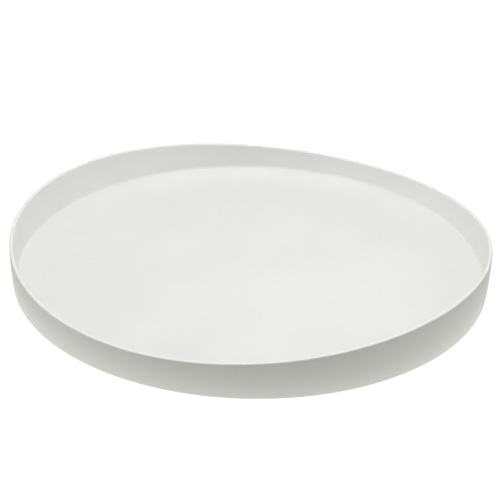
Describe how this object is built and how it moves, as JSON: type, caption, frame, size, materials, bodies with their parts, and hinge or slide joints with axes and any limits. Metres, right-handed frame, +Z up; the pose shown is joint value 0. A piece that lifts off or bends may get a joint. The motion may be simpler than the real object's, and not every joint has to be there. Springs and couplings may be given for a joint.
{
  "type": "lazy susan turntable",
  "caption": "Round shallow dish with a low upright wall and a waved rim, turning on a caged ball bearing over a low rubber-footed base.",
  "frame": {"origin": "on the turning axis, on the surface that the feet stand on", "axes": "+Z up along the turning axis; -Y is the side of the dish with the higher rim on its right half"},
  "size_m": [0.38, 0.38, 0.0501],
  "materials": {
    "dish_plastic": "off-white, moulded, matte",
    "base_plastic": "off-white, moulded, fine texture",
    "race_steel": "pressed sheet, zinc plated",
    "ball_steel": "polished",
    "fastener_steel": "zinc plated",
    "cage_plastic": "natural, stamped",
    "bush_plastic": "natural, turned",
    "foot_rubber": "soft, matte"
  },
  "bodies": {
    "base": {"base": "base_plastic", "lower_race": "race_steel", "race_rivet_1": "fastener_steel", "race_rivet_2": "fastener_steel", "race_rivet_3": "fastener_steel", "race_rivet_4": "fastener_steel", "pivot_bush": "bush_plastic", "foot_1": "foot_rubber", "foot_2": "foot_rubber", "foot_3": "foot_rubber", "foot_4": "foot_rubber", "foot_5": "foot_rubber", "foot_6": "foot_rubber"},
    "dish": {"tray": "dish_plastic", "upper_race": "race_steel", "race_screw_1": "fastener_steel", "race_screw_2": "fastener_steel", "race_screw_3": "fastener_steel", "race_screw_4": "fastener_steel", "retaining_washer": "fastener_steel", "centre_screw": "fastener_steel"},
    "cage": {"ball_cage": "cage_plastic"},
    "ball_01": {"ball_01": "ball_steel"},
    "ball_02": {"ball_02": "ball_steel"},
    "ball_03": {"ball_03": "ball_steel"},
    "ball_04": {"ball_04": "ball_steel"},
    "ball_05": {"ball_05": "ball_steel"},
    "ball_06": {"ball_06": "ball_steel"},
    "ball_07": {"ball_07": "ball_steel"},
    "ball_08": {"ball_08": "ball_steel"},
    "ball_09": {"ball_09": "ball_steel"},
    "ball_10": {"ball_10": "ball_steel"},
    "ball_11": {"ball_11": "ball_steel"},
    "ball_12": {"ball_12": "ball_steel"}
  },
  "joints": [
    {"name": "tray_spin", "type": "hinge", "parent": "base", "child": "dish", "pos_m": [0, 0, 0.0137], "axis": [0, 0, 1], "continuous": true},
    {"name": "cage_spin", "type": "hinge", "parent": "base", "child": "cage", "pos_m": [0, 0, 0.0078], "axis": [0, 0, 1], "continuous": true},
    {"name": "ball_01_roll", "type": "hinge", "parent": "cage", "child": "ball_01", "pos_m": [0.062, 0, 0.0078], "axis": [1, 0, 0], "continuous": true},
    {"name": "ball_02_roll", "type": "hinge", "parent": "cage", "child": "ball_02", "pos_m": [0.05369, 0.031, 0.0078], "axis": [0.866, 0.5, 0], "continuous": true},
    {"name": "ball_03_roll", "type": "hinge", "parent": "cage", "child": "ball_03", "pos_m": [0.031, 0.05369, 0.0078], "axis": [0.5, 0.866, 0], "continuous": true},
    {"name": "ball_04_roll", "type": "hinge", "parent": "cage", "child": "ball_04", "pos_m": [0, 0.062, 0.0078], "axis": [0, 1, 0], "continuous": true},
    {"name": "ball_05_roll", "type": "hinge", "parent": "cage", "child": "ball_05", "pos_m": [-0.031, 0.05369, 0.0078], "axis": [-0.5, 0.866, 0], "continuous": true},
    {"name": "ball_06_roll", "type": "hinge", "parent": "cage", "child": "ball_06", "pos_m": [-0.05369, 0.031, 0.0078], "axis": [-0.866, 0.5, 0], "continuous": true},
    {"name": "ball_07_roll", "type": "hinge", "parent": "cage", "child": "ball_07", "pos_m": [-0.062, 0, 0.0078], "axis": [-1, 0, 0], "continuous": true},
    {"name": "ball_08_roll", "type": "hinge", "parent": "cage", "child": "ball_08", "pos_m": [-0.05369, -0.031, 0.0078], "axis": [-0.866, -0.5, 0], "continuous": true},
    {"name": "ball_09_roll", "type": "hinge", "parent": "cage", "child": "ball_09", "pos_m": [-0.031, -0.05369, 0.0078], "axis": [-0.5, -0.866, 0], "continuous": true},
    {"name": "ball_10_roll", "type": "hinge", "parent": "cage", "child": "ball_10", "pos_m": [0, -0.062, 0.0078], "axis": [0, -1, 0], "continuous": true},
    {"name": "ball_11_roll", "type": "hinge", "parent": "cage", "child": "ball_11", "pos_m": [0.031, -0.05369, 0.0078], "axis": [0.5, -0.866, 0], "continuous": true},
    {"name": "ball_12_roll", "type": "hinge", "parent": "cage", "child": "ball_12", "pos_m": [0.05369, -0.031, 0.0078], "axis": [0.866, -0.5, 0], "continuous": true}
  ],
  "couplings": [
    {"joint": "cage_spin", "follows": "tray_spin", "ratio": 0.5},
    {"joint": "ball_01_roll", "follows": "tray_spin", "ratio": -10.333},
    {"joint": "ball_02_roll", "follows": "tray_spin", "ratio": -10.333},
    {"joint": "ball_03_roll", "follows": "tray_spin", "ratio": -10.333},
    {"joint": "ball_04_roll", "follows": "tray_spin", "ratio": -10.333},
    {"joint": "ball_05_roll", "follows": "tray_spin", "ratio": -10.333},
    {"joint": "ball_06_roll", "follows": "tray_spin", "ratio": -10.333},
    {"joint": "ball_07_roll", "follows": "tray_spin", "ratio": -10.333},
    {"joint": "ball_08_roll", "follows": "tray_spin", "ratio": -10.333},
    {"joint": "ball_09_roll", "follows": "tray_spin", "ratio": -10.333},
    {"joint": "ball_10_roll", "follows": "tray_spin", "ratio": -10.333},
    {"joint": "ball_11_roll", "follows": "tray_spin", "ratio": -10.333},
    {"joint": "ball_12_roll", "follows": "tray_spin", "ratio": -10.333}
  ]
}
